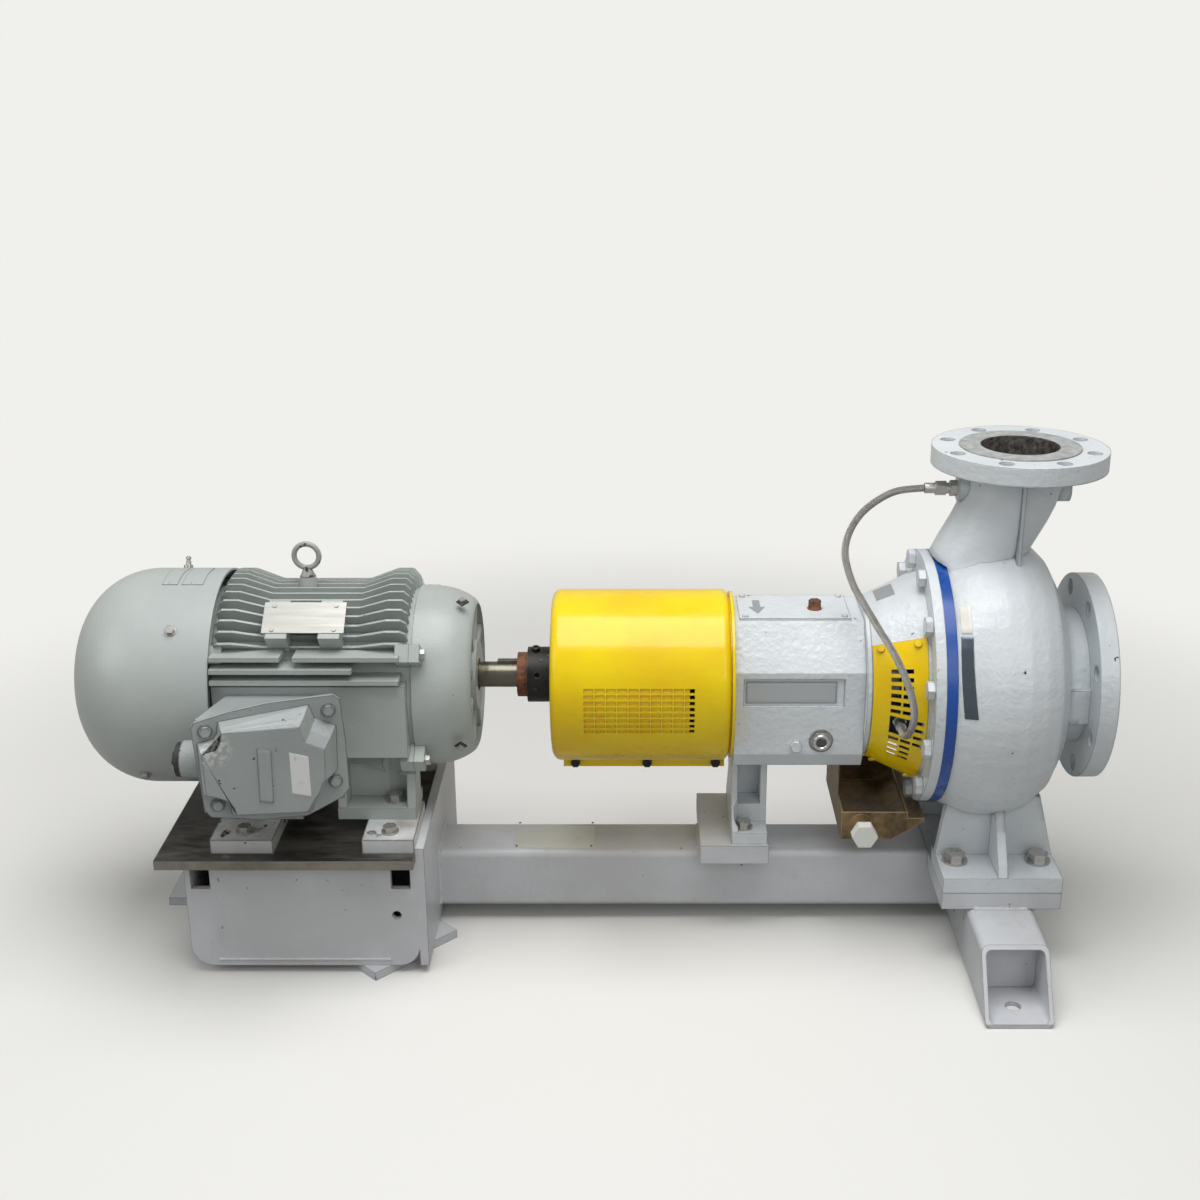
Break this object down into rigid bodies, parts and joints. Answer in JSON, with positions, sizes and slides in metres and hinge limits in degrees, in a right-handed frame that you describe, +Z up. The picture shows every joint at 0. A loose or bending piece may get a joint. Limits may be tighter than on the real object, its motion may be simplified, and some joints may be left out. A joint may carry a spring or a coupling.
{
  "type": "centrifugal pump set",
  "caption": "End-suction centrifugal process pump with finned electric motor, guarded coupling and bearing housing on a welded steel base.",
  "frame": {"origin": "on the floor, midway between the two anchor holes of the leg under the pump casing", "axes": "+X along the shaft towards the suction flange, +Z up along the discharge, -Y towards the terminal box side"},
  "size_m": [1.371, 0.606, 0.685],
  "materials": {
    "base_white": "worn white paint",
    "bare_steel": "dirty bare plate",
    "zinc_bolts": "zinc plated",
    "motor_grey": "satin grey enamel on cast iron",
    "core_steel": "laminated",
    "copper_wire": "varnished copper wire",
    "dark_plastic": "moulded",
    "eye_steel": "forged, worn paint",
    "plate_steel": "blank plate",
    "bearing_steel": "ground",
    "shaft_steel": "turned, oiled",
    "rusty_iron": "rusty",
    "black_steel": "black oxide",
    "impeller_iron": "as cast",
    "seal_carbon": "carbon",
    "safety_yellow": "glossy powder coat",
    "pump_white": "thick enamel on casting",
    "gland_steel": "stainless",
    "band_blue": "blue enamel",
    "hose_braid": "braided stainless",
    "bronze_sheet": "stained sheet",
    "white_plastic": "moulded"
  },
  "bodies": {
    "pump_set": {"base_beam": "base_white", "pump_leg": "base_white", "sole_plate": "base_white", "bearing_pad": "base_white", "motor_pedestal": "base_white", "motor_plate": "bare_steel", "anchor_lugs": "base_white", "motor_pads": "base_white", "base_bolts": "zinc_bolts", "motor_frame": "motor_grey", "stator_core": "core_steel", "stator_windings": "copper_wire", "drive_end_bell": "motor_grey", "rear_bell": "motor_grey", "bell_screws": "zinc_bolts", "fan_cover": "motor_grey", "terminal_box": "motor_grey", "terminal_cover": "motor_grey", "terminal_screws": "zinc_bolts", "conduit_plug": "dark_plastic", "eyebolt": "eye_steel", "nameplate": "plate_steel", "motor_bearings": "bearing_steel", "coupling_guard": "safety_yellow", "guard_plate": "safety_yellow", "guard_screws": "black_steel", "bearing_housing": "pump_white", "top_cover": "pump_white", "filler_plug": "rusty_iron", "sight_glass": "zinc_bolts", "support_foot": "pump_white", "adapter": "pump_white", "seal_guard": "safety_yellow", "seal_gland": "gland_steel", "casing_cover": "band_blue", "casing_bolts": "pump_white", "volute_casing": "pump_white", "flush_hose": "hose_braid", "hose_fittings": "gland_steel", "drip_pan": "bronze_sheet", "drain_plug": "white_plastic", "pump_bearings": "bearing_steel"},
    "motor_rotor": {"motor_shaft": "shaft_steel", "rotor_core": "core_steel", "cooling_fan": "dark_plastic", "motor_bearing_inners": "bearing_steel", "shaft_key": "shaft_steel", "hub_bush": "rusty_iron", "motor_hub": "black_steel", "coupling_spacer": "black_steel", "motor_disc_pack": "bearing_steel"},
    "pump_rotor": {"pump_disc_pack": "bearing_steel", "pump_hub": "black_steel", "pump_shaft": "shaft_steel", "pump_bearing_inners": "bearing_steel", "impeller": "impeller_iron", "impeller_nut": "zinc_bolts", "seal_ring": "seal_carbon"}
  },
  "joints": [
    {"name": "motor_shaft_spin", "type": "hinge", "parent": "pump_set", "child": "motor_rotor", "pos_m": [-0.8, 0, 0.362], "axis": [1, 0, 0], "continuous": true},
    {"name": "pump_shaft_spin", "type": "hinge", "parent": "pump_set", "child": "pump_rotor", "pos_m": [-0.3, 0, 0.362], "axis": [1, 0, 0], "continuous": true}
  ],
  "couplings": [
    {"joint": "pump_shaft_spin", "follows": "motor_shaft_spin", "ratio": 1}
  ]
}
